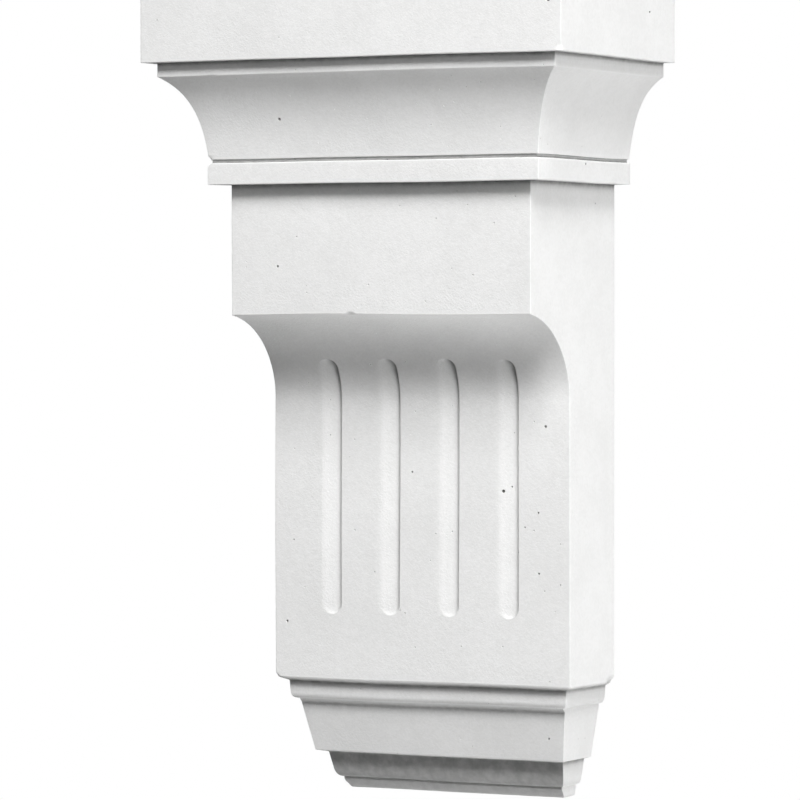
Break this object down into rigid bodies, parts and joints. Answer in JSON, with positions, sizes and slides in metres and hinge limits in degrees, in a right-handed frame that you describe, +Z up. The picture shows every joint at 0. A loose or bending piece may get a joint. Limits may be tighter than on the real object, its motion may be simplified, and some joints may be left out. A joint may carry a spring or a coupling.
{
  "type": "corbel",
  "caption": "Shelf corbel with a coved cap, plain block, fluted shaft and stepped foot, fixed by its flat back to a wall to carry a shelf, mantel or beam on its flat top.",
  "frame": {"origin": "centre of the flat back face, on the wall plane", "axes": "+X to the right seen from the front, +Y into the wall, +Z up; the face looks along -Y"},
  "size_m": [0.1774, 0.0962, 0.305],
  "materials": {
    "plaster": "matt white cast plaster, slightly chalky, with a few pinholes"
  },
  "bodies": {
    "root": {"corbel": "plaster"}
  },
  "joints": []
}
